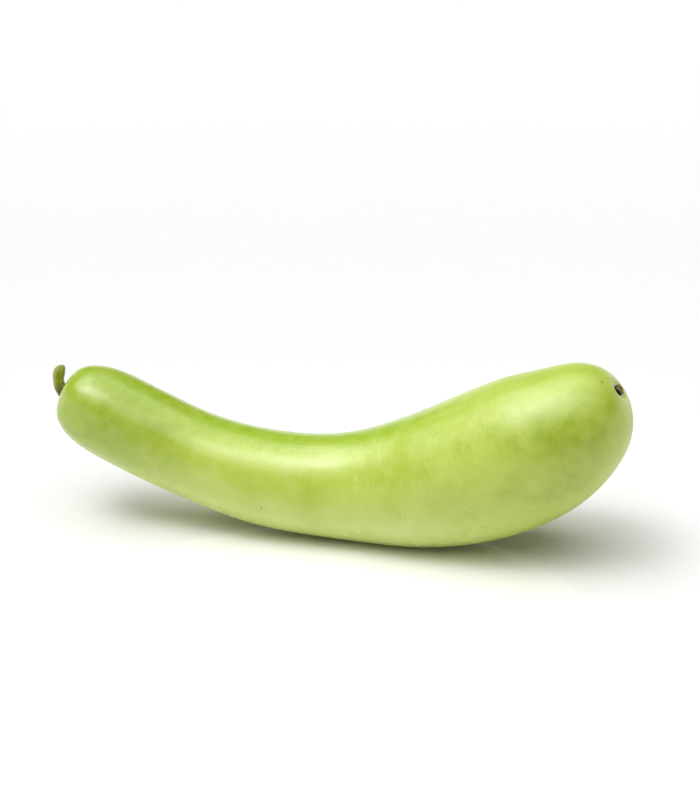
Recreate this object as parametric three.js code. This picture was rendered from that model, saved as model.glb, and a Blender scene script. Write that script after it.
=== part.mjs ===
// A bottle gourd as picked: one long fruit, bent like a shallow boat, lying on its belly with both ends raised,
// a short cut stem at the thin end and the dried stub of its flower at the thick end.
// Millimetres, +Z up. +X runs from the stem end to the blossom end. The origin is on the surface the gourd
// lies on, under the middle of its box.

import * as THREE from 'three';
import { mergeVertices } from 'three/addons/utils/BufferGeometryUtils.js';

// ---------------------------------------------------------------- driving dimensions

// The fruit. Its middle line is drawn from its slope: [share of the length, degrees above level].
const FRUIT_LENGTH = 412.3;
const FRUIT_SLOPES = [
  [0, -20.8], [0.2, -21.6], [0.4, -5.2], [0.6, 11.1], [0.75, 24], [0.86, 34.3], [0.94, 42.1], [1, 37.2],
];
// It also turns a little to the front towards the blossom end: [share of the length, degrees to the far side].
const FRUIT_TURNS = [[0, 0], [0.4, 0], [0.7, -3], [1, -10]];
// Half its thickness, before the ends are rounded: [share of the length, radius].
const FRUIT_RADII = [
  [0, 28.4], [0.125, 30.4], [0.25, 30.5], [0.375, 32.9], [0.5, 36.2], [0.625, 44.6], [0.75, 50.4], [0.84, 49.4],
  [0.92, 45.7], [1, 46.5],
];
const STEM_END = { length: 45.7, fullness: 3 };      // how far the rounding reaches, and how blunt it is
const BLOSSOM_END = { length: 75.2, fullness: 2.32 };
const BACKWARD_LEAN = 12;                           // degrees: the plane of the bend leans back, to +Y
const REST_DEPTH = 1.9;                             // how deep the belly is flattened where it lies
const SHOULDER_LOBES = { count: 5, depth: 0.5, reach: 45, fullFrom: 20 };

// The seats that the end pieces sit in.
const STEM_SEAT = { radius: 6.9, depth: 0.9, edge: 4 };
const NUB_SEAT = { radius: 5.4, depth: 1.5, edge: 5 };
const SEAT_GAP = 0.3;

// The stem: slopes along its middle line carry on from the fruit's own end.
const STEM_LENGTH = 18.8;
const STEM_SLOPES = [[0, 159.2], [0.22, 121], [0.5, 93], [1, 85]];
const STEM_RADII = [[0, 6.4], [0.1, 5.1], [0.28, 3.9], [0.55, 3.6], [0.8, 3.7], [1, 3.2]];
const STEM_RIDGES = { count: 5, height: 0.32 };
const STEM_CUT_ROUNDING = 0.7;

// The dried stub of the flower: a low ragged button, thicker towards one side.
const NUB_RADIUS = 4.7;
const NUB_HEIGHT = 2.4;
const NUB_RAGGED = 0.07;
const NUB_HUMP = { offset: 1.5, height: 0.6, width: 2.2 };

// How finely each piece is divided: round it, and along it.
const FRUIT_GRID = { sides: 36, steps: 84 };
const SEAT_RINGS = [0.55, 1];                       // rings of points on a seat's level floor, in its radius
const CLEAR_OF_SEAT = 1.15;                         // how far out, in that radius, the fruit's own points start
const STEM_GRID = { sides: 30, steps: 22 };
const NUB_SIDES = 24;

// ---------------------------------------------------------------- curves

// A smooth curve through [place, value] pairs that runs out straight at both ends (a natural cubic spline).
function smoothThrough(pairs) {
  const n = pairs.length;
  const x = pairs.map((pair) => pair[0]);
  const y = pairs.map((pair) => pair[1]);
  const bend = new Array(n).fill(0);
  const ahead = new Array(n).fill(0);
  const rest = new Array(n).fill(0);
  for (let i = 1; i < n - 1; i += 1) {
    const before = x[i] - x[i - 1];
    const after = x[i + 1] - x[i];
    const kink = 6 * ((y[i + 1] - y[i]) / after - (y[i] - y[i - 1]) / before);
    const pivot = 2 * (before + after) - before * ahead[i - 1];
    ahead[i] = after / pivot;
    rest[i] = (kink - before * rest[i - 1]) / pivot;
  }
  for (let i = n - 2; i > 0; i -= 1) {
    bend[i] = rest[i] - ahead[i] * bend[i + 1];
  }
  return (place) => {
    let i = 0;
    while (i < n - 2 && place > x[i + 1]) {
      i += 1;
    }
    const h = x[i + 1] - x[i];
    const a = (x[i + 1] - place) / h;
    const b = 1 - a;
    const cubic = (a * a * a - a) * bend[i] + (b * b * b - b) * bend[i + 1];
    return a * y[i] + b * y[i + 1] + cubic * h * h / 6;
  };
}

// The upright plane of the bend, leaning back: along the gourd, up the plane, and out of its far side.
const lean = THREE.MathUtils.degToRad(BACKWARD_LEAN);
const ALONG = new THREE.Vector3(1, 0, 0);
const UP_PLANE = new THREE.Vector3(0, Math.sin(lean), Math.cos(lean));
const FAR_SIDE = new THREE.Vector3().crossVectors(UP_PLANE, ALONG);

// A direction from its slope in that plane and its turn to the plane's far side, in degrees.
function direction(slopeDegrees, turnDegrees) {
  const slope = THREE.MathUtils.degToRad(slopeDegrees);
  const turn = THREE.MathUtils.degToRad(turnDegrees);
  const level = ALONG.clone().multiplyScalar(Math.cos(slope)).addScaledVector(UP_PLANE, Math.sin(slope));
  return level.multiplyScalar(Math.cos(turn)).addScaledVector(FAR_SIDE, Math.sin(turn));
}

// A middle line of a given length that starts at a point and follows its slopes and turns. It answers with the
// point and the direction at any distance, and runs on straight past both ends.
function middleLine(start, length, slopes, turns) {
  const slopeAt = smoothThrough(slopes);
  const turnAt = smoothThrough(turns);
  const headingAt = (share) => direction(slopeAt(share), turnAt(share));
  const steps = 400;
  const step = length / steps;
  const points = [start.clone()];
  for (let i = 0; i < steps; i += 1) {
    points.push(points[i].clone().addScaledVector(headingAt((i + 0.5) / steps), step));
  }
  return (distance) => {
    const inside = THREE.MathUtils.clamp(distance, 0, length);
    const i = Math.min(Math.floor(inside / step), steps - 1);
    const forward = headingAt(inside / length);
    const point = points[i].clone().lerp(points[i + 1], inside / step - i);
    return { point: point.addScaledVector(forward, distance - inside), forward };
  };
}

// ---------------------------------------------------------------- solids

// Joins a turned form's seam and poles, and drops the triangles that its poles leave without area.
function closeUp(geometry) {
  geometry.deleteAttribute('normal');
  geometry.deleteAttribute('uv');
  const merged = mergeVertices(geometry, 1e-5);
  const corners = Array.from(merged.index.array);
  const kept = [];
  for (let i = 0; i < corners.length; i += 3) {
    const [a, b, c] = corners.slice(i, i + 3);
    if (a !== b && b !== c && c !== a) {
      kept.push(a, b, c);
    }
  }
  merged.setIndex(kept);
  return merged;
}

// Turns an outline of [radius, distance] points into a straight round form, then bends it along a middle line.
// reshape may move a point: it gets and returns radius, angle round the line and distance along it.
function turnAndBend(outline, sides, line, reshape) {
  const profile = outline.map(([radius, distance]) => new THREE.Vector2(radius, distance));
  const geometry = closeUp(new THREE.LatheGeometry(profile, sides));
  const position = geometry.attributes.position;
  for (let i = 0; i < position.count; i += 1) {
    const straight = {
      radius: Math.hypot(position.getX(i), position.getZ(i)),
      angle: Math.atan2(position.getZ(i), position.getX(i)),
      distance: position.getY(i),
    };
    const { radius, angle, distance } = reshape(straight);
    const { point, forward } = line(distance);
    const over = new THREE.Vector3().crossVectors(forward, FAR_SIDE).normalize();
    const side = new THREE.Vector3().crossVectors(over, forward);
    point.addScaledVector(over, radius * Math.cos(angle));
    point.addScaledVector(side, radius * Math.sin(angle));
    position.setXYZ(i, point.x, point.y, point.z);
  }
  geometry.computeVertexNormals();
  return geometry;
}

// Points spread evenly along an outline that is given as a function of 0 to 1.
function evenOutline(outlineAt, count) {
  const fine = 2000;
  const dense = [];
  for (let i = 0; i <= fine; i += 1) {
    dense.push(outlineAt(i / fine));
  }
  const run = [0];
  for (let i = 1; i < dense.length; i += 1) {
    run.push(run[i - 1] + Math.hypot(dense[i][0] - dense[i - 1][0], dense[i][1] - dense[i - 1][1]));
  }
  const points = [];
  for (let k = 0, i = 0; k <= count; k += 1) {
    while (i < dense.length - 1 && run[i] < run[run.length - 1] * k / count) {
      i += 1;
    }
    points.push(dense[i]);
  }
  return points;
}

function asMesh(name, geometry, colour, roughness) {
  const material = new THREE.MeshStandardMaterial({ color: colour, roughness, metalness: 0 });
  const mesh = new THREE.Mesh(geometry, material);
  mesh.name = name;
  return mesh;
}

// ---------------------------------------------------------------- the fruit

const fruitRadius = smoothThrough(FRUIT_RADII);
const fruitLine = middleLine(new THREE.Vector3(0, 0, 0), FRUIT_LENGTH, FRUIT_SLOPES, FRUIT_TURNS);
const lastOf = (pairs) => pairs[pairs.length - 1][1];

// 1 along the middle of the fruit, falling to 0 at the end along a blunt round curve.
function endRounding(fromEnd, { length, fullness }) {
  const short = Math.max(0, 1 - fromEnd / length);
  return (1 - short ** fullness) ** (1 / fullness);
}

// How far a seat sinks the end of the fruit: level inside its radius, then easing out.
function seatSink(radius, seat) {
  return seat.depth * (1 - THREE.MathUtils.smoothstep(radius, seat.radius, seat.radius + seat.edge));
}

// The fruit's outline from the middle of the stem seat to the middle of the nub's seat.
function fruitOutline(share) {
  const distance = FRUIT_LENGTH * share;
  const rounded = endRounding(distance, STEM_END) * endRounding(FRUIT_LENGTH - distance, BLOSSOM_END);
  return [fruitRadius(share) * rounded, distance];
}

// The fruit's own points, spread evenly with level seats at both ends.
function fruitPoints() {
  const closerAtEnds = (share) => (1 - Math.cos(Math.PI * share)) / 2;
  const own = evenOutline((share) => fruitOutline(closerAtEnds(share)), FRUIT_GRID.steps);
  const clear = own.filter(([radius, distance]) => {
    const seat = distance < FRUIT_LENGTH / 2 ? STEM_SEAT : NUB_SEAT;
    return radius > seat.radius * CLEAR_OF_SEAT;
  });
  const stemSeat = SEAT_RINGS.map((share) => [STEM_SEAT.radius * share, 0]);
  const nubSeat = SEAT_RINGS.map((share) => [NUB_SEAT.radius * share, FRUIT_LENGTH]).reverse();
  return [[0, 0], ...stemSeat, ...clear, ...nubSeat, [0, FRUIT_LENGTH]];
}

function fruitGeometry() {
  const { count, depth, reach, fullFrom } = SHOULDER_LOBES;
  const lobedAndSunk = ({ radius, angle, distance }) => {
    const lobe = depth * Math.exp(-distance / reach) * Math.min(1, radius / fullFrom) * Math.cos(count * angle);
    const stemHalf = distance < FRUIT_LENGTH / 2;
    const sunk = stemHalf ? seatSink(radius, STEM_SEAT) : -seatSink(radius, NUB_SEAT);
    return { radius: radius + lobe, angle, distance: distance + sunk };
  };
  return turnAndBend(fruitPoints(), FRUIT_GRID.sides, fruitLine, lobedAndSunk);
}

// Flattens the belly where the fruit lies, and returns the height of that flat.
function flattenBelly(geometry) {
  const position = geometry.attributes.position;
  geometry.computeBoundingBox();
  const floor = geometry.boundingBox.min.z + REST_DEPTH;
  for (let i = 0; i < position.count; i += 1) {
    position.setZ(i, Math.max(position.getZ(i), floor));
  }
  return floor;
}

// ---------------------------------------------------------------- the stem

function stemGeometry() {
  const seat = fruitLine(0);
  const start = seat.point.addScaledVector(seat.forward, STEM_SEAT.depth - SEAT_GAP);
  const line = middleLine(start, STEM_LENGTH, STEM_SLOPES, [[0, FRUIT_TURNS[0][1]], [1, 0]]);
  const stemRadius = smoothThrough(STEM_RADII);
  const outline = [[0, 0], [STEM_RADII[0][1] / 2, 0]];
  for (let i = 0; i <= STEM_GRID.steps; i += 1) {
    const share = i / STEM_GRID.steps;
    outline.push([stemRadius(share), (STEM_LENGTH - STEM_CUT_ROUNDING) * share]);
  }
  const cut = stemRadius(1) - STEM_CUT_ROUNDING;
  outline.push([cut, STEM_LENGTH], [cut / 2, STEM_LENGTH], [0, STEM_LENGTH]);
  const ridged = ({ radius, angle, distance }) => {
    const ridge = STEM_RIDGES.height * Math.cos(STEM_RIDGES.count * angle) * radius / STEM_RADII[0][1];
    return { radius: radius + ridge, angle, distance };
  };
  return turnAndBend(outline, STEM_GRID.sides, line, ridged);
}

// ---------------------------------------------------------------- the flower's dried stub

function nubGeometry() {
  const seat = fruitLine(FRUIT_LENGTH);
  const start = seat.point.addScaledVector(seat.forward, SEAT_GAP - NUB_SEAT.depth);
  const slope = lastOf(FRUIT_SLOPES);
  const turn = lastOf(FRUIT_TURNS);
  const line = middleLine(start, NUB_HEIGHT, [[0, slope], [1, slope]], [[0, turn], [1, turn]]);
  const outline = [
    [0, 0], [0.5, 0], [0.9, 0], [1, 0.18], [1, 0.4], [0.93, 0.62], [0.78, 0.78], [0.55, 0.88], [0.28, 0.95], [0, 1],
  ].map(([out, up]) => [NUB_RADIUS * out, NUB_HEIGHT * up]);
  const ragged = ({ radius, angle, distance }) => {
    const edge = 1 + NUB_RAGGED * (Math.cos(3 * angle + 0.6) + 0.6 * Math.cos(7 * angle)) / 1.6;
    const across = radius * Math.cos(angle) - NUB_HUMP.offset;
    const side = radius * Math.sin(angle);
    const hump = NUB_HUMP.height * Math.exp(-(across ** 2 + side ** 2) / NUB_HUMP.width ** 2);
    return { radius: radius * edge, angle, distance: distance + hump * distance / NUB_HEIGHT };
  };
  return turnAndBend(outline, NUB_SIDES, line, ragged);
}

// ---------------------------------------------------------------- the gourd

const fruit = asMesh('fruit', fruitGeometry(), 0xa9c957, 0.42);
const stem = asMesh('stem', stemGeometry(), 0x7d8233, 0.7);
const nub = asMesh('blossom_nub', nubGeometry(), 0x6f5a32, 0.85);
const floor = flattenBelly(fruit.geometry);

const gourd = new THREE.Group();
gourd.add(fruit, stem, nub);

// Sets the gourd down on its belly, with the middle of its box over the origin.
const box = new THREE.Box3().setFromObject(gourd, true);
const middle = box.getCenter(new THREE.Vector3());
gourd.position.set(-middle.x, -middle.y, -floor);
gourd.updateMatrixWorld(true);

export default gourd;
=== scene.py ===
import math

import bpy
import numpy as np
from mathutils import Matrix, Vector


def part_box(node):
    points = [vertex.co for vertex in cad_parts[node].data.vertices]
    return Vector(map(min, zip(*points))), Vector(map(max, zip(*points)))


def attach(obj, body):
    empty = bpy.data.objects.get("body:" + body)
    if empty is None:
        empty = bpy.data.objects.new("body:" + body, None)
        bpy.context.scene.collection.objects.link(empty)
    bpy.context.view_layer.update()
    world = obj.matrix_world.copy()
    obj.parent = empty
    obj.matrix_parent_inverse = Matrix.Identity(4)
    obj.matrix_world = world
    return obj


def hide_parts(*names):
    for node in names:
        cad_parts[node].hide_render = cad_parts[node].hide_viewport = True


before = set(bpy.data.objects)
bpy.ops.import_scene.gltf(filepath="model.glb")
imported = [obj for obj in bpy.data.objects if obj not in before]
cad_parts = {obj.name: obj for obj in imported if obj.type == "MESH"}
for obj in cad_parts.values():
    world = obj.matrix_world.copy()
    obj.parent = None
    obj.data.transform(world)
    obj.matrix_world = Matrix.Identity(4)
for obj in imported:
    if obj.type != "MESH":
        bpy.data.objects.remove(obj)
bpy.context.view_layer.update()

MM = 0.001

# ------------------------------------------------------------------ the gourd's driving sizes, in metres and degrees

FRUIT_LENGTH = 412.3 * MM
# Slope of the fruit's middle line, and its turn to the far side: (share of the length, degrees).
FRUIT_SLOPES = [(0, -20.8), (0.2, -21.6), (0.4, -5.2), (0.6, 11.1), (0.75, 24), (0.86, 34.3), (0.94, 42.1), (1, 37.2)]
FRUIT_TURNS = [(0, 0), (0.4, 0), (0.7, -3), (1, -10)]
# Half the fruit's thickness in millimetres before its ends are rounded: (share of the length, radius).
FRUIT_RADII = [(0, 28.4), (0.125, 30.4), (0.25, 30.5), (0.375, 32.9), (0.5, 36.2), (0.625, 44.6), (0.75, 50.4),
               (0.84, 49.4), (0.92, 45.7), (1, 46.5)]
STEM_END = {"length": 45.7 * MM, "fullness": 3}
BLOSSOM_END = {"length": 75.2 * MM, "fullness": 2.32}
BACKWARD_LEAN = 12
REST_DEPTH = 1.9 * MM
REST_SOFTENING = 1.0 * MM
SHOULDER_LOBES = {"count": 5, "depth": 0.5 * MM, "reach": 45 * MM, "full_from": 20 * MM}

STEM_SEAT = {"radius": 5.7 * MM, "depth": 0.9 * MM, "edge": 4 * MM}
NUB_SEAT = {"radius": 4.4 * MM, "depth": 1.5 * MM, "edge": 4 * MM}
SEAT_GAP = 0.3 * MM

STEM_LENGTH = 20.7 * MM
STEM_SLOPES = [(0, 159.2), (0.22, 119), (0.5, 93), (1, 85)]
STEM_TURNS = [(0, 0), (0.35, 0), (0.7, 18), (1, 30)]
STEM_RADII = [(0, 5.3), (0.1, 4.6), (0.28, 3.9), (0.55, 3.8), (0.78, 4.1), (1, 3.8)]
STEM_RIDGES = {"count": 5, "depth": 0.2 * MM, "sharpness": 1.3}
STEM_FOOT = {"low": 0.4 * MM, "high": 3.5 * MM}
STEM_RIM = 2.5 * MM
STEM_SLANT = 0.42
# The cut's face, from its rim in to the pith: (share of its radius, millimetres below the rim).
STEM_CUT = [(0.9, 0.02), (0.78, 0.1), (0.62, 0.14), (0.46, 0.16), (0.34, 0.3), (0.2, 0.5), (0.1, 0.56), (0, 0.58)]

NUB_HEIGHT = 2.1 * MM
NUB_RADIUS = 3.5 * MM
NUB_SHIFT = 0.6 * MM
NUB_LOBES = {"count": 5, "depth": 0.22 * MM}
# The stub's outline from the middle of its foot, over its crust and into its hollow: shares of (radius, height).
NUB_PROFILE = [(0, 0), (0.55, 0), (0.92, 0.02), (1, 0.22), (1, 0.5), (0.92, 0.78), (0.74, 0.96), (0.55, 0.93),
               (0.42, 0.7), (0.3, 0.5), (0.17, 0.52), (0.1, 0.66), (0, 0.7)]
# How far up the stub the shreds are rooted, as a share of its height.
SHRED_RISE = 0.62

# How uneven each surface is, from its lowest to its highest spot: broad swells, fine hoops round it and a fine grain.
RIND_RELIEF = {"swell": 1.6 * MM, "ripple": 0.03 * MM, "grain": 0.10 * MM}
STALK_RELIEF = {"swell": 0.5 * MM, "grain": 0.3 * MM, "foot grain": 0.7 * MM}
STUB_RELIEF = {"swell": 0.9 * MM, "grain": 0.8 * MM, "full from": 0.8 * MM}

# The rind is even inside the first radius and fully uneven from the second.
EVEN_INSIDE, UNEVEN_FROM = 9 * MM, 22 * MM

# Rings along each turned piece, and what its node tree is given. The sizes of swell, ripple and grain are in waves per
# metre, or in waves round the piece.
CAD_RINGS, RIND_RINGS, STALK_RINGS, STUB_RINGS = 84, 330, 70, 60
RIND_TREE = {"sides": 210, "lobes": float(SHOULDER_LOBES["count"]), "swell_size": 16.0, "ripple_along": 190.0,
             "ripple_around": 2.2, "grain_size": 64.0, "seed": 3.0, "floor": 0.0, "floor_softening": REST_SOFTENING}
STALK_TREE = {"sides": 100, "lobes": float(STEM_RIDGES["count"]), "lobe_sharpness": STEM_RIDGES["sharpness"],
              "grain_size": 520.0, "swell_size": 120.0, "seed": 1.0, "slant_angle": math.pi,
              "slant_radius": STEM_RADII[-1][1] * MM}
STUB_TREE = {"sides": 90, "lobes": float(NUB_LOBES["count"]), "grain_size": 700.0, "swell_size": 330.0, "seed": 5.0}
FUZZ_TREE = {"density": 1.5e6, "length": 0.5 * MM, "thickness": 0.018 * MM, "lean": 0.8, "seed": 4}
SHRED_TREE = {"count": 17, "ring": NUB_RADIUS * 0.72, "length": 1.7 * MM, "width": 1.15 * MM, "thickness": 0.12 * MM,
              "seed": 7}
# Points of a turned form that lie closer than this are one, as at its poles and along its seam.
WELD = 0.004 * MM

# ------------------------------------------------------------------ curves


def smooth_through(pairs):
    """A smooth curve through (place, value) pairs that runs out straight at both ends."""
    x = [float(pair[0]) for pair in pairs]
    y = [float(pair[1]) for pair in pairs]
    n = len(x)
    bend, ahead, rest = [0.0] * n, [0.0] * n, [0.0] * n
    for i in range(1, n - 1):
        before, after = x[i] - x[i - 1], x[i + 1] - x[i]
        kink = 6 * ((y[i + 1] - y[i]) / after - (y[i] - y[i - 1]) / before)
        pivot = 2 * (before + after) - before * ahead[i - 1]
        ahead[i] = after / pivot
        rest[i] = (kink - before * rest[i - 1]) / pivot
    for i in range(n - 2, 0, -1):
        bend[i] = rest[i] - ahead[i] * bend[i + 1]

    def value(place):
        i = 0
        while i < n - 2 and place > x[i + 1]:
            i += 1
        h = x[i + 1] - x[i]
        a = (x[i + 1] - place) / h
        b = 1 - a
        return a * y[i] + b * y[i + 1] + ((a**3 - a) * bend[i] + (b**3 - b) * bend[i + 1]) * h * h / 6

    return value


LEAN = math.radians(BACKWARD_LEAN)
ALONG = Vector((1, 0, 0))
UP_PLANE = Vector((0, math.sin(LEAN), math.cos(LEAN)))
FAR_SIDE = UP_PLANE.cross(ALONG)


def direction(slope, turn):
    """A direction from its slope in the leaning plane of the bend and its turn to the plane's far side."""
    slope, turn = math.radians(slope), math.radians(turn)
    level = ALONG * math.cos(slope) + UP_PLANE * math.sin(slope)
    return level * math.cos(turn) + FAR_SIDE * math.sin(turn)


def across(forward):
    """The two directions square to a middle line: to its upper side, and to the side."""
    over = forward.cross(FAR_SIDE).normalized()
    return over, over.cross(forward)


def middle_line(start, length, slopes, turns):
    """A line that starts at a point and follows its slopes and turns: it answers with point and direction."""
    slope_at, turn_at = smooth_through(slopes), smooth_through(turns)
    steps = 400
    step = length / steps
    points = [start.copy()]
    for i in range(steps):
        share = (i + 0.5) / steps
        points.append(points[i] + direction(slope_at(share), turn_at(share)) * step)

    def at(distance):
        inside = min(max(distance, 0), length)
        i = min(int(inside / step), steps - 1)
        forward = direction(slope_at(inside / length), turn_at(inside / length))
        return points[i].lerp(points[i + 1], inside / step - i) + forward * (distance - inside), forward

    return at


def even_outline(outline_at, count):
    """Points spread evenly along an outline of (radius, distance) that is given as a function of 0 to 1."""
    fine = 4000
    dense = np.array([outline_at(i / fine) for i in range(fine + 1)])
    run = np.concatenate([[0], np.cumsum(np.hypot(*np.diff(dense, axis=0).T))])
    places = np.linspace(0, run[-1], count + 1)
    return [(float(np.interp(p, run, dense[:, 0])), float(np.interp(p, run, dense[:, 1]))) for p in places]


def smooth_step(value, low, high):
    t = min(max((value - low) / (high - low), 0), 1)
    return t * t * (3 - 2 * t)


# ------------------------------------------------------------------ small makers' tools for node trees


class Nodes:
    """Adds and links nodes in one tree. A socket given a node takes that node's first output."""

    def __init__(self, tree):
        self.tree = tree

    def add(self, kind, inputs=None, **settings):
        node = self.tree.nodes.new(kind)
        for name, value in settings.items():
            setattr(node, name, value)
        for key, value in (inputs or {}).items():
            self.feed(node.inputs[key], value)
        return node

    def feed(self, socket, value):
        if isinstance(value, bpy.types.Node):
            value = value.outputs[0]
        if isinstance(value, bpy.types.NodeSocket):
            self.tree.links.new(value, socket)
        else:
            socket.default_value = value

    def math(self, operation, *values):
        return self.add("ShaderNodeMath", dict(enumerate(values)), operation=operation).outputs[0]

    def vector(self, operation, *values):
        node = self.add("ShaderNodeVectorMath", dict(enumerate(values)), operation=operation)
        return node.outputs["Value" if operation in ("LENGTH", "DOT_PRODUCT", "DISTANCE") else "Vector"]

    def scale(self, vector, factor):
        return self.add("ShaderNodeVectorMath", {0: vector, "Scale": factor}, operation="SCALE").outputs[0]

    def between(self, value, low, high, to_low=0.0, to_high=1.0):
        inputs = {"Value": value, "From Min": low, "From Max": high, "To Min": to_low, "To Max": to_high}
        return self.add("ShaderNodeMapRange", inputs, interpolation_type="SMOOTHSTEP").outputs[0]

    def noise(self, vector, scale, detail=2.0, roughness=0.5):
        inputs = {"Vector": vector, "Scale": scale, "Detail": detail, "Roughness": roughness}
        return self.add("ShaderNodeTexNoise", inputs).outputs[0]

    def split(self, vector):
        return self.add("ShaderNodeSeparateXYZ", {0: vector}).outputs

    def joined(self, x, y, z):
        return self.add("ShaderNodeCombineXYZ", {"X": x, "Y": y, "Z": z})


# ------------------------------------------------------------------ turned forms, made by geometry nodes


def station_mesh(name, outline, line, extras):
    """A string of points, one for each ring of a turned form, with what the node tree needs to know at each."""
    rows = []
    for radius, distance in outline:
        point, forward = line(distance)
        rows.append((point, *across(forward), radius, distance, extras(radius, distance)))
    mesh = bpy.data.meshes.new(name)
    mesh.from_pydata([row[0] for row in rows], [], [])
    for label, column in (("over", 1), ("side", 2)):
        mesh.attributes.new(label, "FLOAT_VECTOR", "POINT").data.foreach_set(
            "vector", np.array([row[column] for row in rows], dtype=np.float32).ravel())
    mesh.attributes.new("girth", "FLOAT", "POINT").data.foreach_set("value", [row[3] for row in rows])
    mesh.attributes.new("distance", "FLOAT", "POINT").data.foreach_set("value", [row[4] for row in rows])
    for label in rows[0][5]:
        mesh.attributes.new(label, "FLOAT", "POINT").data.foreach_set("value", [row[5][label] for row in rows])
    return mesh


def new_tree(name, sockets):
    """A geometry node tree with named inputs: it answers with its node maker and its inputs."""
    tree = bpy.data.node_groups.new(name, "GeometryNodeTree")
    tree.interface.new_socket("Geometry", in_out="INPUT", socket_type="NodeSocketGeometry")
    for label, kind, value in sockets:
        tree.interface.new_socket(label, in_out="INPUT", socket_type="NodeSocket" + kind).default_value = value
    tree.interface.new_socket("Material", in_out="INPUT", socket_type="NodeSocketMaterial")
    tree.interface.new_socket("Geometry", in_out="OUTPUT", socket_type="NodeSocketGeometry")
    n = Nodes(tree)
    return tree, n, n.add("NodeGroupInput").outputs


def end_tree(n, geometry, material):
    real = n.add("GeometryNodeRealizeInstances", {"Geometry": geometry})
    done = n.add("GeometryNodeSetMaterial", {"Geometry": real, "Material": material})
    n.feed(n.add("NodeGroupOutput").inputs[0], done)


def turned_form_tree():
    """Rings of points round a string of stations: lobed, roughened along their normals and set on a floor."""
    tree, n, given = new_tree("turned_form", [
        ("Stations", "Int", 10), ("Sides", "Int", 32), ("Lobes", "Float", 5), ("Lobe Sharpness", "Float", 1),
        ("Swell Size", "Float", 30.0), ("Ripple Along", "Float", 200.0), ("Ripple Around", "Float", 1.0),
        ("Grain Size", "Float", 300.0), ("Seed", "Float", 0), ("Floor", "Float", -1.0),
        ("Floor Softening", "Float", 0.0005), ("Slant Angle", "Float", 0.0), ("Slant Radius", "Float", 0.001)])

    rows = n.math("ADD", given["Sides"], 1)
    grid = n.add("GeometryNodeMeshGrid", {"Size X": 1.0, "Size Y": 1.0, "Vertices X": given["Stations"],
                                          "Vertices Y": rows})
    index = n.add("GeometryNodeInputIndex")
    station = n.math("FLOOR", n.math("DIVIDE", n.math("ADD", index, 0.5), rows))
    turn = n.math("DIVIDE", n.math("SUBTRACT", index, n.math("MULTIPLY", station, rows)), given["Sides"])
    angle = n.math("MULTIPLY", turn, 2 * math.pi)
    cosine, sine = n.math("COSINE", angle), n.math("SINE", angle)

    def own(label, kind="FLOAT"):
        return n.add("GeometryNodeInputNamedAttribute", {"Name": label}, data_type=kind).outputs[0]

    def sampled(label, kind):
        """What a ring's own station says, read by name, or the station's place when no name is given."""
        node = n.add("GeometryNodeSampleIndex", {"Geometry": given["Geometry"], "Index": station}, data_type=kind)
        n.feed(node.inputs["Value"], own(label, kind) if label else n.add("GeometryNodeInputPosition"))
        return node.outputs[0]

    centre, over, side = (sampled(label, "FLOAT_VECTOR") for label in (None, "over", "side"))
    labels = ("girth", "distance", "lobe", "swell", "ripple", "grain", "slant")
    girth, distance, lobe, swell, ripple, grain, slant = (sampled(label, "FLOAT") for label in labels)

    wave = n.math("COSINE", n.math("MULTIPLY", angle, given["Lobes"]))
    sharp = n.math("POWER", n.math("MULTIPLY_ADD", wave, 0.5, 0.5), given["Lobe Sharpness"])
    radius = n.math("MULTIPLY_ADD", n.math("MULTIPLY_ADD", sharp, 2.0, -1.0), lobe, girth)
    spoke = n.vector("ADD", n.scale(over, cosine), n.scale(side, sine))
    forward = n.vector("CROSS_PRODUCT", side, over)
    tilt = n.math("MULTIPLY", n.math("COSINE", n.math("SUBTRACT", angle, given["Slant Angle"])), radius)
    drop = n.math("MULTIPLY", n.math("SUBTRACT", tilt, given["Slant Radius"]), slant)
    spot = n.vector("ADD", n.vector("ADD", centre, n.scale(spoke, radius)), n.scale(forward, drop))
    placed = n.add("GeometryNodeSetPosition", {"Geometry": grid, "Position": spot})

    skin = n.joined(cosine, sine, distance)
    kept = placed
    for label, value, kind in (("skin", skin, "FLOAT_VECTOR"), ("girth", girth, "FLOAT"), ("swell", swell, "FLOAT"),
                               ("ripple", ripple, "FLOAT"), ("grain", grain, "FLOAT")):
        kept = n.add("GeometryNodeStoreNamedAttribute", {"Geometry": kept, "Name": label}, data_type=kind)
        n.feed(kept.inputs["Value"], value)
    closed = n.add("GeometryNodeMergeByDistance", {"Geometry": kept, "Distance": WELD})

    normal = n.add("GeometryNodeInputNormal")
    position = n.add("GeometryNodeInputPosition")
    shifted = n.vector("ADD", position, n.joined(given["Seed"], 0.0, 0.0))
    parts = n.split(own("skin", "FLOAT_VECTOR"))
    hoop = n.joined(n.math("MULTIPLY_ADD", parts[0], given["Ripple Around"], given["Seed"]),
                    n.math("MULTIPLY", parts[1], given["Ripple Around"]),
                    n.math("MULTIPLY", parts[2], given["Ripple Along"]))
    layers = ((n.noise(shifted, given["Swell Size"], 1.0), "swell"), (n.noise(hoop, 1.0, 1.0), "ripple"),
              (n.noise(shifted, given["Grain Size"], 3.0, 0.5), "grain"))
    height = 0.0
    for noise, label in layers:
        height = n.math("MULTIPLY_ADD", n.math("SUBTRACT", noise, 0.5), own(label), height)
    worked = n.add("GeometryNodeSetPosition", {"Geometry": closed, "Offset": n.scale(normal, height)})

    spots = n.split(n.add("GeometryNodeInputPosition"))
    level = n.math("SMOOTH_MAX", spots[2], given["Floor"], given["Floor Softening"])
    rested = n.add("GeometryNodeSetPosition", {"Geometry": worked, "Position": n.joined(spots[0], spots[1], level)})
    end_tree(n, n.add("GeometryNodeSetShadeSmooth", {"Geometry": rested}), given["Material"])
    return tree


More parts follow.
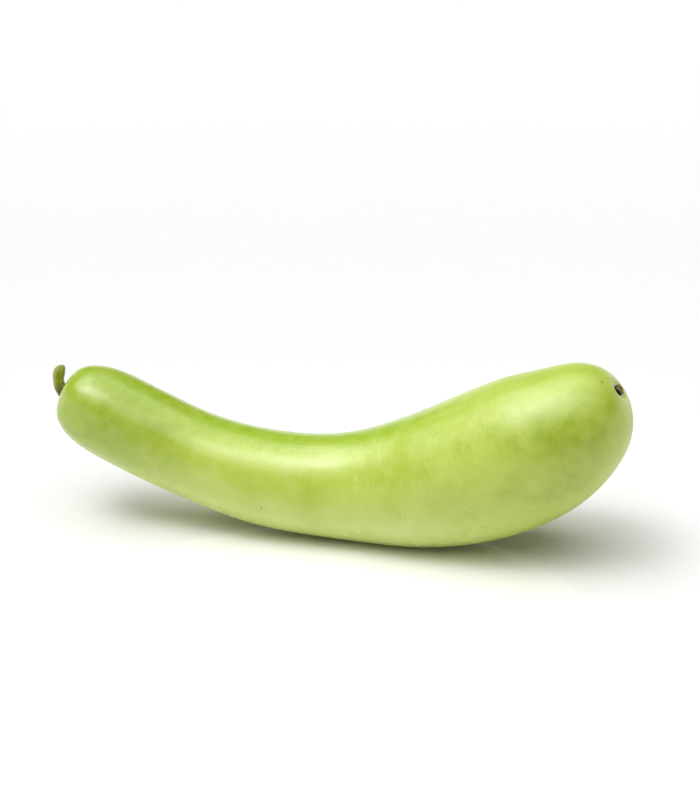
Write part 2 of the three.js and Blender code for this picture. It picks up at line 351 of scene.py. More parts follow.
def settle(maker, name, tree, values):
    """Runs a node tree on a mesh once, and keeps the result as a plain mesh object at the origin."""
    modifier = maker.modifiers.new(name, "NODES")
    modifier.node_group = tree
    for item in tree.interface.items_tree:
        if item.item_type == "SOCKET" and item.in_out == "INPUT" and item.name in values:
            modifier[item.identifier] = values[item.name]
    maker.update_tag()
    depsgraph = bpy.context.evaluated_depsgraph_get()
    mesh = bpy.data.meshes.new_from_object(maker.evaluated_get(depsgraph), depsgraph=depsgraph)
    mesh.name = name
    maker.modifiers.remove(modifier)
    mesh.materials.clear()
    mesh.materials.append(values["Material"])
    mesh.polygons.foreach_set("material_index", [0] * len(mesh.polygons))
    return mesh


def grown_piece(name, ground, tree, material, **values):
    """A piece that a node tree grows from a ground mesh. The tree's inputs are given by name."""
    maker = bpy.data.objects.new(name + "_ground", ground)
    bpy.context.collection.objects.link(maker)
    inputs = {label.replace("_", " ").title(): value for label, value in values.items()}
    mesh = settle(maker, name, tree, {**inputs, "Material": material})
    bpy.data.objects.remove(maker)
    piece = bpy.data.objects.new(name, mesh)
    bpy.context.collection.objects.link(piece)
    return piece


# ------------------------------------------------------------------ fuzz and shreds, made by geometry nodes


def random_value(n, low, high, seed, offset=0):
    node = n.add("FunctionNodeRandomValue", data_type="FLOAT")
    n.feed(node.inputs[2], low)
    n.feed(node.inputs[3], high)
    n.feed(node.inputs["Seed"], n.math("ADD", seed, offset))
    return node.outputs[1]


def fuzz_tree():
    """Short soft hairs that stand on a surface and lean a little, each its own way."""
    tree, n, given = new_tree("stalk_fuzz", [
        ("Density", "Float", 1e6), ("Length", "Float", 0.0006), ("Thickness", "Float", 0.00003),
        ("Lean", "Float", 0.5), ("Seed", "Int", 0)])
    spread = n.add("GeometryNodeDistributePointsOnFaces", {"Mesh": given["Geometry"], "Density": given["Density"],
                                                           "Seed": given["Seed"]}, distribute_method="RANDOM")
    hair = n.add("GeometryNodeMeshCone", {"Vertices": 3, "Side Segments": 2, "Radius Top": 0.0,
                                          "Radius Bottom": given["Thickness"], "Depth": given["Length"]})
    sway = n.joined(*(n.math("MULTIPLY", random_value(n, -1.0, 1.0, given["Seed"], k), given["Lean"])
                      for k in range(3)))
    along = n.vector("ADD", spread.outputs["Normal"], sway)
    turn = n.add("FunctionNodeAlignRotationToVector", {"Vector": along}, axis="Z")
    size = random_value(n, 0.45, 1.15, given["Seed"], 5)
    placed = n.add("GeometryNodeInstanceOnPoints", {"Points": spread.outputs["Points"], "Instance": hair,
                                                    "Rotation": turn, "Scale": size})
    end_tree(n, placed, given["Material"])
    return tree


def shred_tree():
    """A ring of thin curled shreds, left where the petals dried, each with its own length, turn and lift."""
    tree, n, given = new_tree("petal_shreds", [
        ("Count", "Int", 12), ("Ring", "Float", 0.003), ("Forward", "Vector", (0, 0, 1)),
        ("Over", "Vector", (1, 0, 0)), ("Length", "Float", 0.002), ("Width", "Float", 0.0008),
        ("Thickness", "Float", 0.0001), ("Seed", "Int", 0)])
    slab = n.add("GeometryNodeMeshCube", {
        "Size": n.joined(given["Width"], given["Length"], given["Thickness"]),
        "Vertices X": 3, "Vertices Y": 7, "Vertices Z": 2})
    spot = n.split(n.add("GeometryNodeInputPosition"))
    share = n.math("ADD", n.math("DIVIDE", spot[1], given["Length"]), 0.5)
    fray = n.math("MULTIPLY", random_value(n, -0.3, 0.3, given["Seed"], 9), share)
    narrow = n.math("ADD", n.math("SUBTRACT", 1.0, n.math("MULTIPLY", n.math("MULTIPLY", share, share), 0.55)), fray)
    bend = n.math("MULTIPLY", share, 1.5)
    curled = n.joined(n.math("MULTIPLY", spot[0], narrow),
                      n.math("MULTIPLY", n.math("SINE", bend), n.math("MULTIPLY", given["Length"], 0.7)),
                      n.math("MULTIPLY_ADD", n.math("SUBTRACT", 1.0, n.math("COSINE", bend)),
                             n.math("MULTIPLY", given["Length"], -0.5), spot[2]))
    shred = n.add("GeometryNodeSetPosition", {"Geometry": slab.outputs["Mesh"], "Position": curled})
    root = n.add("GeometryNodeSampleIndex", {"Geometry": given["Geometry"], "Index": 0}, data_type="FLOAT_VECTOR")
    n.feed(root.inputs["Value"], n.add("GeometryNodeInputPosition").outputs[0])
    points = n.add("GeometryNodePoints", {"Count": given["Count"]})
    index = n.add("GeometryNodeInputIndex")
    step = n.math("ADD", index, random_value(n, -0.4, 0.4, given["Seed"]))
    angle = n.math("MULTIPLY", n.math("DIVIDE", step, given["Count"]), 2 * math.pi)
    side = n.vector("CROSS_PRODUCT", given["Over"], given["Forward"])
    spoke = n.vector("ADD", n.scale(given["Over"], n.math("COSINE", angle)), n.scale(side, n.math("SINE", angle)))
    place = n.vector("ADD", root.outputs[0], n.scale(spoke, given["Ring"]))
    ringed = n.add("GeometryNodeSetPosition", {"Geometry": points, "Position": place})
    lift = n.scale(given["Forward"], random_value(n, -0.2, 1.6, given["Seed"], 2))
    twist = n.scale(n.vector("CROSS_PRODUCT", given["Forward"], spoke), random_value(n, -0.8, 0.8, given["Seed"], 3))
    out = n.vector("ADD", n.vector("ADD", spoke, lift), twist)
    turn = n.add("FunctionNodeAxesToRotation", {"Primary Axis": out, "Secondary Axis": given["Forward"]},
                 primary_axis="Y", secondary_axis="Z")
    placed = n.add("GeometryNodeInstanceOnPoints", {
        "Points": ringed, "Instance": shred, "Rotation": turn, "Scale": random_value(n, 0.5, 1.15, given["Seed"], 4)})
    end_tree(n, placed, given["Material"])
    return tree


# ------------------------------------------------------------------ the fruit's form


def end_rounding(from_end, end):
    short = max(0.0, 1 - from_end / end["length"])
    return (1 - short ** end["fullness"]) ** (1 / end["fullness"])


def seat_sink(radius, seat):
    return seat["depth"] * (1 - smooth_step(radius, seat["radius"], seat["radius"] + seat["edge"]))


fruit_radius = smooth_through(FRUIT_RADII)


def fruit_outline(share):
    share = (1 - math.cos(math.pi * share)) / 2
    distance = FRUIT_LENGTH * share
    rounded = end_rounding(distance, STEM_END) * end_rounding(FRUIT_LENGTH - distance, BLOSSOM_END)
    return fruit_radius(share) * MM * rounded, distance


def sunk_outline(count):
    """The fruit's outline with a level seat sunk into each end."""
    points = []
    for radius, distance in even_outline(fruit_outline, count):
        sunk = seat_sink(radius, STEM_SEAT) if distance < FRUIT_LENGTH / 2 else -seat_sink(radius, NUB_SEAT)
        points.append((radius, distance + sunk))
    return points


def fruit_extras(radius, distance):
    """Lobes that fade away from the shoulder, and a surface that is even only round the two seats."""
    lobes = SHOULDER_LOBES
    body = smooth_step(radius, EVEN_INSIDE, UNEVEN_FROM)
    lobe = lobes["depth"] * math.exp(-distance / lobes["reach"]) * min(1, radius / lobes["full_from"])
    return {"lobe": lobe, "slant": 0.0, **{layer: depth * body for layer, depth in RIND_RELIEF.items()}}


def local_box(outline, line):
    """The box of a turned form before it is set in its place."""
    points = []
    for radius, distance in outline:
        point, forward = line(distance)
        over, side = across(forward)
        for turn in np.linspace(0, math.tau, 36, endpoint=False).tolist():
            points.append(point + over * (radius * math.cos(turn)) + side * (radius * math.sin(turn)))
    points = np.array(points)
    return points.min(axis=0), points.max(axis=0)


def skin_point(line, angle, place):
    """The point of the skin at an angle round the fruit from its top, and at a place along its middle line."""
    point, forward = line(place)
    over, side = across(forward)
    turn = math.radians(angle)
    radius = fruit_outline(math.acos(1 - 2 * place / FRUIT_LENGTH) / math.pi)[0]
    return point + (over * math.cos(turn) + side * math.sin(turn)) * radius


def gourd_start():
    """Where the fruit's middle line starts, so that its form fills the frame's fruit."""
    line = middle_line(Vector((0, 0, 0)), FRUIT_LENGTH, FRUIT_SLOPES, FRUIT_TURNS)
    low, high = local_box(sunk_outline(CAD_RINGS), line)
    frame_low, frame_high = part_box("fruit")
    middle = (low + high) / 2
    return Vector(((frame_low[0] + frame_high[0]) / 2 - middle[0], (frame_low[1] + frame_high[1]) / 2 - middle[1],
                   frame_low[2] - low[2] - REST_DEPTH))


# ------------------------------------------------------------------ the stalk's and the flower stub's forms


def stem_outline(count):
    """From the foot's middle out to its collar, up the stalk, over the rim of the cut and down into its pith."""
    radius_at = smooth_through(STEM_RADII)
    points = [(0.0, 0.0), (STEM_RADII[0][1] * MM / 2, 0.0)]
    for i in range(count + 1):
        share = i / count
        points.append((radius_at(share) * MM, (STEM_LENGTH - STEM_RIM) * share))
    end = radius_at(1) * MM
    rim_steps = 6
    for i in range(1, rim_steps + 1):
        turn = i / rim_steps * math.pi / 2
        points.append((end - STEM_RIM * (1 - math.cos(turn)), STEM_LENGTH - STEM_RIM * (1 - math.sin(turn))))
    face = end - STEM_RIM
    points += [(face * share, STEM_LENGTH - sunk * MM) for share, sunk in STEM_CUT]
    return points


def stem_extras(radius, distance):
    """Ridges up the stalk, a rougher foot, and a cut that slants."""
    relief = STALK_RELIEF
    wide = min(1, radius / (STEM_RADII[-1][1] * MM))
    foot = 1 - smooth_step(distance, STEM_FOOT["low"], STEM_FOOT["high"])
    grain = (relief["grain"] + relief["foot grain"] * foot) * wide * min(1, distance / (0.5 * MM) + 0.2)
    return {"lobe": STEM_RIDGES["depth"] * wide * (1 + foot), "swell": relief["swell"] * wide, "ripple": 0.0,
            "grain": grain, "slant": STEM_SLANT * smooth_step(distance, 0.5 * STEM_LENGTH, STEM_LENGTH - STEM_RIM)}


def nub_outline(count):
    """From the foot of the stub up its side, over a thick crust and down into the hollow where the flower sat."""
    last = len(NUB_PROFILE) - 1
    out = smooth_through([(i / last, spot[0]) for i, spot in enumerate(NUB_PROFILE)])
    up = smooth_through([(i / last, spot[1]) for i, spot in enumerate(NUB_PROFILE)])
    points = [(max(0.0, out(i / count)) * NUB_RADIUS, max(0.0, up(i / count)) * NUB_HEIGHT) for i in range(count)]
    return points + [(0.0, NUB_PROFILE[-1][1] * NUB_HEIGHT)]


def nub_extras(radius, distance):
    """Lobes on the stub's crust, and crumbs everywhere but on its foot."""
    rise = min(1, distance / STUB_RELIEF["full from"])
    return {"lobe": NUB_LOBES["depth"] * min(1, radius / NUB_RADIUS), "swell": STUB_RELIEF["swell"] * rise,
            "ripple": 0.0, "grain": STUB_RELIEF["grain"] * rise, "slant": 0.0}


# ------------------------------------------------------------------ materials

# Deeper green patches of the skin: (angle round the fruit from its top, its reach, place along the fruit, half length,
# depth of the green).
DEEP_PATCHES = [(-96, 66, 0.375, 0.075, 0.95), (-90, 62, 0.055, 0.075, 0.95), (-36, 44, 0.078, 0.05, 0.4),
                (-78, 50, 0.272, 0.06, 0.35), (120, 60, 0.19, 0.09, 0.8), (170, 40, 0.33, 0.06, 0.7)]
# Small blemishes: (angle, place, half width round the fruit and half length along it in millimetres, depth of colour).
PINPRICKS = [(-47, 0.4091, 0.9, 1.0, 0.55), (-114, 0.1582, 0.8, 0.7, 0.7), (-60, 0.3062, 0.6, 0.6, 0.5),
             (38, 0.212, 0.9, 0.8, 0.7), (95, 0.352, 1.1, 0.9, 0.8), (150, 0.09, 0.7, 1.0, 0.6)]
GRAZES = [(-104, 0.1044, 1.8, 0.5, 0.45), (-106, 0.2494, 2.6, 0.5, 0.4), (-108, 0.2514, 2.4, 0.5, 0.45),
          (-111, 0.2538, 1.6, 0.4, 0.35), (72, 0.265, 0.6, 6.5, 0.4), (128, 0.147, 4.0, 0.5, 0.4)]
RUSSET_SPOTS = [(-85, 0.4106, 2.0, 1.6, 0.4), (60, 0.120, 3.0, 4.0, 0.3), (163, 0.376, 5.0, 3.4, 0.3)]

# Colours as they look on a screen, from 0 to 255.
RIND_COLOURS = {
    "deep cloud": (172, 194, 58), "pale cloud": (190, 212, 90), "drift": (197, 214, 106),
    # The crown's deeper green is partly the skin's own colour, partly painted shade.
    "neck belly": (205, 219, 124), "bulb belly": (196, 213, 96), "crown": (148, 182, 30), "shoulder": (143, 172, 42),
    "deep patch": (144, 167, 26), "dark streak": (146, 174, 38), "pale streak": (208, 220, 122),
    # The hoop colour is painted highlight.
    "hoop": (212, 224, 134), "mottle": (208, 221, 116), "fleck": (216, 227, 150), "flower end": (196, 204, 120),
    # The pale ring colour round the flower seat is partly pale callus, partly painted highlight on the seat's rim.
    "callus_and_rim_highlight": (234, 230, 196), "flower scar and gap shade": (38, 24, 10), "stalk end": (118, 150, 40), "stalk scar": (92, 84, 34),
    "speck": (112, 134, 48), "pinprick": (84, 98, 30), "graze": (122, 140, 52), "russet": (188, 170, 128)}
STALK_COLOURS = {
    "dark fibre": (118, 129, 6), "pale fibre": (156, 165, 30), "ridge": (172, 178, 52), "furrow": (98, 102, 10),
    # The foot colour is partly a corky base, partly painted shade where the stalk meets the fruit.
    "blotch": (92, 86, 12), "foot": (60, 50, 2), "collar": (100, 76, 22), "dark cut": (120, 112, 58),
    "pale cut": (176, 166, 104), "pith": (92, 80, 40)}
FUZZ_COLOURS = {"dark": (136, 142, 46), "pale": (172, 174, 92)}
STUB_COLOURS = {"dark crumb": (86, 74, 22), "crumb": (150, 134, 60), "pale crumb": (196, 170, 96),
                # The stub's foot colour is painted shade round its foot.
                "crack": (34, 22, 8), "foot": (36, 22, 8), "hollow": (52, 36, 14)}
SHRED_COLOURS = {"dark": (96, 72, 30), "pale": (186, 158, 92)}
# Radii of the rings of colour round the two seats, from where each colour is full to where it ends.
# The near-black ring inside the flower seat is partly a dark scar, partly painted shade in the gap round the flower
# stub.
FLOWER_SCAR_AND_GAP_SHADE, STALK_SCAR = (4.0 * MM, 4.6 * MM), (5.5 * MM, 6.6 * MM)
# The pale ring round the flower seat is partly painted highlight on the seat's rim.
CALLUS_HIGHLIGHT_INNER, CALLUS_HIGHLIGHT_OUTER = (4.6 * MM, 4.2 * MM), (4.9 * MM, 5.9 * MM)
FLOWER_END, STALK_END = (5.6 * MM, 10.0 * MM), (6.4 * MM, 12.5 * MM)


def linear(screen):
    """A colour given as it looks on a screen, as the shader's linear light."""
    return tuple(((c / 255 + 0.055) / 1.055) ** 2.4 if c > 10 else c / 255 / 12.92 for c in screen) + (1,)


def plain_material(name):
    material = bpy.data.materials.new(name)
    material.use_nodes = True
    n = Nodes(material.node_tree)
    shader = material.node_tree.nodes["Principled BSDF"]
    return material, n, shader


def mixed(n, factor, low, high):
    node = n.add("ShaderNodeMix", {"Factor": factor}, data_type="RGBA", blend_type="MIX", clamp_factor=True)
    n.feed(node.inputs[6], low)
    n.feed(node.inputs[7], high)
    return node.outputs[2]


def tint(n, base, amount, strength, colour):
    """A base colour with another laid over it where an amount says so, up to a strength."""
    return mixed(n, n.math("MULTIPLY", amount, strength), base, colour)


def skin_reading(n):
    """Where a turned piece's node tree says that a point is: its turn round the piece, as a vector, and its girth."""
    skin = n.add("ShaderNodeAttribute", attribute_name="skin").outputs["Vector"]
    return skin, n.add("ShaderNodeAttribute", attribute_name="girth").outputs["Fac"]


def body_place(n):
    return n.add("ShaderNodeTexCoord").outputs["Object"]


def roughen(n, shader, height):
    """A fine relief on a shader, from a height in metres."""
    n.feed(shader.inputs["Normal"], n.add("ShaderNodeBump", {"Height": height, "Strength": 1.0, "Distance": 1.0}))


def rind_material(line):
    """Waxy pale green skin: greener at the shoulder, paler below, deeper green on top that is partly painted shade,
    pale hoop strokes of painted highlight, a pale ring of callus and painted highlight and a near-black ring of scar
    and painted shade round the flower stub, with clouds and marks.
    """
    material, n, shader = plain_material("satin_rind")
    paint = {name: linear(screen) for name, screen in RIND_COLOURS.items()}
    body = body_place(n)
    skin, girth = skin_reading(n)
    over, far, distance = n.split(skin)

    def wrapped(around, along, seed):
        return n.joined(n.math("MULTIPLY_ADD", over, around, seed), n.math("MULTIPLY", far, around),
                        n.math("MULTIPLY", distance, along))

    def patch(angle, reach, place, length):
        """How far a point is inside a soft patch of the skin, given by its angle round the fruit and its place."""
        turn = math.radians(angle)
        facing = n.vector("DOT_PRODUCT", skin, (math.cos(turn), math.sin(turn), 0))
        around = n.between(facing, math.cos(math.radians(reach)), 1.0)
        away = n.math("ABSOLUTE", n.math("SUBTRACT", distance, place))
        return n.math("MULTIPLY", around, n.between(away, 0.0, length, 1.0, 0.0))

    def mark(angle, place, wide, long):
        """How far a point is inside a small ragged mark, measured on the skin round the mark's own middle."""
        middle = skin_point(line, angle, place)
        around = (skin_point(line, angle + 2, place) - middle).normalized()
        along = (skin_point(line, angle, place + 0.3 * MM) - middle).normalized()
        away = n.vector("SUBTRACT", body, middle)
        side = n.vector("DOT_PRODUCT", away, around / (wide * MM))
        down = n.vector("DOT_PRODUCT", away, along / (long * MM))
        reach = n.math("ADD", n.math("MULTIPLY", side, side), n.math("MULTIPLY", down, down))
        near = n.math("LESS_THAN", n.vector("LENGTH", away), 20 * MM)
        return n.math("MULTIPLY", n.between(n.math("ADD", reach, ragged), 1.6, 0.2), near)

    clouds = n.noise(body, 24.0, 2.0, 0.5)
    drifts = n.noise(body, 58.0, 1.0, 0.5)
    streaks = n.noise(wrapped(13.0, 15.0, 3.0), 1.0, 2.0, 0.6)
    hoops = n.noise(wrapped(5.0, 330.0, 6.0), 1.0, 1.0, 0.5)
    # Where the main highlight falls: pale hoop strokes here are painted highlight, and the same strokes vary the
    # gloss.
    highlight_zone = n.between(n.noise(body, 17.0, 1.0), 0.3, 0.55, 0.25, 1.0)
    for limit in (n.between(over, -0.2, 0.4), n.between(over, 0.7, 0.95, 1.0, 0.15), n.between(distance, 0.08, 0.18),
                  n.between(distance, 0.28, 0.38, 1.0, 0.15)):
        highlight_zone = n.math("MULTIPLY", highlight_zone, limit)
    mottle = n.noise(body, 130.0, 1.0, 0.5)
    flecks = n.noise(body, 700.0, 0.0)
    ragged = n.math("MULTIPLY_ADD", n.noise(body, 1500.0, 2.0), 1.6, -0.8)
    wander = n.math("MULTIPLY_ADD", clouds, 1.1, -0.55)

    def tinted(amount, strength, name):
        """The colour so far, with another laid over it."""
        return tint(n, base, amount, strength, paint[name])

    base = mixed(n, n.between(clouds, 0.24, 0.76), paint["deep cloud"], paint["pale cloud"])
    base = tinted(n.between(drifts, 0.3, 0.76), 0.4, "drift")
    belly = n.between(n.math("SUBTRACT", wander, over), 0.0, 0.95)
    belly_green = mixed(n, n.between(distance, 0.25, 0.33), paint["neck belly"], paint["bulb belly"])
    base = tint(n, base, belly, 0.85, belly_green)
    # A deeper green over the top of the fruit: partly the skin's own colour, partly painted shade.
    crown = n.between(n.math("ADD", over, n.math("MULTIPLY", wander, 0.5)), 0.62, 1.0)
    crown = n.math("MULTIPLY", crown, n.between(distance, 0.23, 0.34, 1.0, 0.4))
    base = tinted(crown, 0.88, "crown")
    shoulder = n.between(n.math("MULTIPLY_ADD", wander, 0.03, distance), 0.0, 0.115, 1.0, 0.0)
    base = tinted(shoulder, 0.72, "shoulder")
    for angle, reach, place, length, depth in DEEP_PATCHES:
        inside = n.math("MULTIPLY", patch(angle, reach, place, length), n.between(drifts, 0.2, 0.62, 1.0, 0.55))
        base = tinted(inside, depth, "deep patch")
    top_streaks = n.math("MULTIPLY_ADD", n.math("MULTIPLY", crown, n.between(drifts, 0.3, 0.7)), 0.26, 0.05)
    top_streaks = n.math("MULTIPLY", top_streaks, n.between(girth, 0.014, 0.034))
    base = tinted(n.between(streaks, 0.5, 0.72), top_streaks, "dark streak")
    base = tinted(n.between(streaks, 0.5, 0.3), top_streaks, "pale streak")
    # Pale hoop strokes: painted highlight, broken into strokes round the fruit.
    base = tinted(n.math("MULTIPLY", n.between(hoops, 0.42, 0.7), highlight_zone), 0.28, "hoop")
    base = tinted(n.between(mottle, 0.32, 0.78), 0.2, "mottle")
    base = tinted(n.between(flecks, 0.6, 0.8), 0.08, "fleck")

    edge = n.math("MULTIPLY_ADD", n.math("ADD", ragged, n.math("MULTIPLY", wander, 3.0)), 0.0004, girth)
    stem_end = n.math("LESS_THAN", distance, FRUIT_LENGTH / 2)
    flower_end = n.math("SUBTRACT", 1.0, stem_end)

    def ring(full, gone, end):
        """How far a point is inside a ring of colour that is full at one radius and gone at another."""
        return n.math("MULTIPLY", n.between(edge, gone, full), end)

    # A pale broken ring round the flower seat: partly pale callus, partly painted highlight on the seat's rim.
    callus_and_rim_highlight = n.math("MULTIPLY", n.between(edge, *reversed(CALLUS_HIGHLIGHT_INNER)), n.between(edge, *reversed(CALLUS_HIGHLIGHT_OUTER)))
    callus_and_rim_highlight = n.math("MULTIPLY", callus_and_rim_highlight, n.between(mottle, 0.36, 0.6, 0.3, 0.9))
    base = tinted(ring(*FLOWER_END, flower_end), 0.3, "flower end")
    base = tinted(n.math("MULTIPLY", callus_and_rim_highlight, flower_end), 1.0, "callus_and_rim_highlight")
    # Near black inside the flower seat: partly a dark scar, partly painted shade in the gap round the flower stub.
    base = tinted(ring(*FLOWER_SCAR_AND_GAP_SHADE, flower_end), 0.96, "flower scar and gap shade")
    base = tinted(ring(*STALK_END, stem_end), 0.6, "stalk end")
    base = tinted(ring(*STALK_SCAR, stem_end), 0.9, "stalk scar")

    cells = n.add("ShaderNodeTexVoronoi", {"Vector": body, "Scale": 105.0})
    chosen = n.math("GREATER_THAN", n.add("ShaderNodeSeparateColor", {0: cells.outputs["Color"]}), 0.86)
    specks = n.math("MULTIPLY", n.between(cells.outputs["Distance"], 0.085, 0.03), chosen)
    base = tinted(specks, 0.36, "speck")
    dents = specks
    for name, marks in (("pinprick", PINPRICKS), ("graze", GRAZES), ("russet", RUSSET_SPOTS)):
        for angle, place, wide, long, depth in marks:
            spot = mark(angle, place, wide, long)
            base = tinted(spot, depth, name)
            if name != "russet":
                dents = n.math("MAXIMUM", dents, spot)
    n.feed(shader.inputs["Base Color"], base)

    rough = n.math("MULTIPLY_ADD", clouds, 0.10, n.between(distance, 0.26, 0.36, 0.17, 0.26))
    rough = n.math("MULTIPLY_ADD", n.math("MULTIPLY", hoops, highlight_zone), 0.05, rough)
    rough = n.math("MULTIPLY_ADD", dents, 0.25, rough)
    n.feed(shader.inputs["Roughness"], n.math("MULTIPLY_ADD", mottle, 0.06, rough))
    shader.inputs["Specular IOR Level"].default_value = 0.65
    relief = n.math("MULTIPLY_ADD", n.math("MULTIPLY", streaks, crown), 0.00003, n.math("MULTIPLY", mottle, 0.00002))
    roughen(n, shader, n.math("MULTIPLY_ADD", dents, -0.00005, relief))
    return material


def stem_material():
    """Ridged olive stalk: darker in the furrows, dark brown over its lower half as a corky foot and painted shade
    where it meets the fruit, pale and fibrous on the cut.
    """
    material, n, shader = plain_material("ridged_stalk")
    paint = {name: linear(screen) for name, screen in STALK_COLOURS.items()}
    body = body_place(n)
    skin, girth = skin_reading(n)
    over, far, distance = n.split(skin)
    fibres = n.joined(n.math("MULTIPLY", over, 7.0), n.math("MULTIPLY", far, 7.0), n.math("MULTIPLY", distance, 90.0))
    grain = n.noise(fibres, 1.0, 3.0, 0.6)
    blotch = n.noise(body, 260.0, 3.0, 0.6)
    crumbs = n.noise(body, 1400.0, 3.0, 0.6)
    ridge = n.math("COSINE", n.math("MULTIPLY", n.math("ARCTAN2", far, over), float(STEM_RIDGES["count"])))

    def tinted(amount, strength, name):
        """The colour so far, with another laid over it."""
        return tint(n, base, amount, strength, paint[name])

    base = mixed(n, n.between(grain, 0.25, 0.75), paint["dark fibre"], paint["pale fibre"])
    base = tinted(n.between(ridge, 0.0, 1.0), 0.3, "ridge")
    base = tinted(n.between(ridge, 0.2, -1.0), 0.25, "furrow")
    base = tinted(n.between(blotch, 0.5, 0.72), 0.4, "blotch")
    # Dark brown over the lower half of the stalk: partly a corky base, partly painted shade where the stalk meets the
    # fruit.
    foot = n.between(n.math("MULTIPLY_ADD", crumbs, 0.002, distance), 0.0105, 0.0022)
    base = tinted(foot, 0.9, "foot")
    collar = n.between(n.math("MULTIPLY_ADD", crumbs, 0.0012, distance), 0.0019, 0.0008)
    base = tinted(collar, 0.85, "collar")
    top = n.between(distance, STEM_LENGTH - 0.6 * MM, STEM_LENGTH - 0.1 * MM)
    cut = mixed(n, n.between(crumbs, 0.35, 0.65), paint["dark cut"], paint["pale cut"])
    cut = mixed(n, n.between(girth, 0.0007, 0.0016, 1.0, 0.0), cut, paint["pith"])
    n.feed(shader.inputs["Base Color"], mixed(n, top, base, cut))
    rough = n.math("MULTIPLY_ADD", n.math("ADD", top, foot), 0.3, n.math("MULTIPLY_ADD", grain, 0.16, 0.2))
    n.feed(shader.inputs["Roughness"], rough)
    shader.inputs["Specular IOR Level"].default_value = 0.5
    roughen(n, shader, n.math("MULTIPLY_ADD", grain, 0.00014, n.math("MULTIPLY", crumbs, 0.00007)))
    return material


def fuzz_material():
    """Dull yellow-green hairs with a faint sheen."""
    material, n, shader = plain_material("stalk_fuzz")
    tone = n.between(n.noise(body_place(n), 900.0, 2.0), 0.3, 0.7)
    n.feed(shader.inputs["Base Color"], mixed(n, tone, linear(FUZZ_COLOURS["dark"]), linear(FUZZ_COLOURS["pale"])))
    shader.inputs["Roughness"].default_value = 0.55
    shader.inputs["Sheen Weight"].default_value = 0.1
    return material


def nub_material():
    """Dried flower stub: corky olive tan on its crust, almost black in its cracks, and almost black round its foot as
    painted shade where it sits in the seat.
    """
    material, n, shader = plain_material("dried_flower_cork")
    paint = {name: linear(screen) for name, screen in STUB_COLOURS.items()}
    body = body_place(n)
    skin, girth = skin_reading(n)
    distance = n.split(skin)["Z"]
    crumbs = n.noise(body, 900.0, 4.0, 0.65)
    wobble = n.add("ShaderNodeTexNoise", {"Vector": body, "Scale": 520.0}).outputs[1]
    bent = n.vector("ADD", body, n.scale(wobble, 0.004))
    cracks = n.add("ShaderNodeTexVoronoi", {"Vector": bent, "Scale": 430.0}, feature="DISTANCE_TO_EDGE")
    base = mixed(n, n.between(crumbs, 0.38, 0.62), paint["dark crumb"], paint["crumb"])
    base = tint(n, base, n.between(crumbs, 0.58, 0.7), 0.6, paint["pale crumb"])
    base = tint(n, base, n.between(cracks, 0.07, 0.0), n.between(crumbs, 0.62, 0.42), paint["crack"])
    # Almost black round the stub's foot: painted shade where it sits in the seat.
    base = mixed(n, n.between(distance, 0.0016, 0.0005), base, paint["foot"])
    base = tint(n, base, n.between(girth, 0.0019, 0.0008), n.between(distance, 0.001, 0.0012), paint["hollow"])
    n.feed(shader.inputs["Base Color"], base)
    n.feed(shader.inputs["Roughness"], n.math("MULTIPLY_ADD", crumbs, 0.2, 0.6))
    height = n.math("MULTIPLY_ADD", n.between(cracks, 0.0, 0.12), 0.00012, n.math("MULTIPLY", crumbs, 0.0005))
    roughen(n, shader, height)
    return material


def shred_material():
    """Papery tan petal shreds with darker veins."""
    material, n, shader = plain_material("dry_petal_shreds")
    veins = n.noise(body_place(n), 1300.0, 3.0, 0.6)
    tone = n.between(veins, 0.35, 0.65)
    n.feed(shader.inputs["Base Color"], mixed(n, tone, linear(SHRED_COLOURS["dark"]), linear(SHRED_COLOURS["pale"])))
    shader.inputs["Roughness"].default_value = 0.7
    roughen(n, shader, n.math("MULTIPLY", veins, 0.0002))
    return material


# ------------------------------------------------------------------ the camera, lights and floor

AIM = Vector((5.77, 26.17, 87.43)) * MM
VIEW_AZIMUTH, VIEW_ELEVATION = 10.5, 22.0
LENS = 100.0
VIEW_DISTANCE = 1.5092
SEES_TO = 60

WALL_GLOW, ROOM_GLOW = 1.1, 0.06
# Each light as (azimuth and height it stands at, half its spread, softness of its edge, glow), angles in degrees.
CEILING = ((250, 80), 40, 8, 1.65)
SOFT_BOXES = [((150, 58), 13, 5, 2.1), ((202, 64), 11.5, 5, 5.5), ((243, 66), 12, 5, 3.1)]
WHITE_CARD = ((215, 14), 30, 14, 0.05)
# The walls are dim on the near side: the share of their glow that is left there.
NEAR_WALL = 0.3
FLOOR = {"half": 12.0, "paleness": 0.96, "roughness": 0.03, "specular": 0.9}


def set_camera():
    data = bpy.data.cameras.new("camera")
    data.lens = LENS
    camera = bpy.data.objects.new("camera", data)
    bpy.context.collection.objects.link(camera)
    turn, rise = math.radians(VIEW_AZIMUTH), math.radians(VIEW_ELEVATION)
    back = Vector((math.sin(turn) * math.cos(rise), -math.cos(turn) * math.cos(rise), math.sin(rise)))
    camera.location = AIM + back * VIEW_DISTANCE
    camera.rotation_euler = (-back).to_track_quat("-Z", "Y").to_euler()
    data.clip_end = SEES_TO
    bpy.context.scene.camera = camera


def toward(azimuth, elevation):
    turn, rise = math.radians(azimuth), math.radians(elevation)
    return (math.cos(turn) * math.cos(rise), math.sin(turn) * math.cos(rise), math.sin(rise))


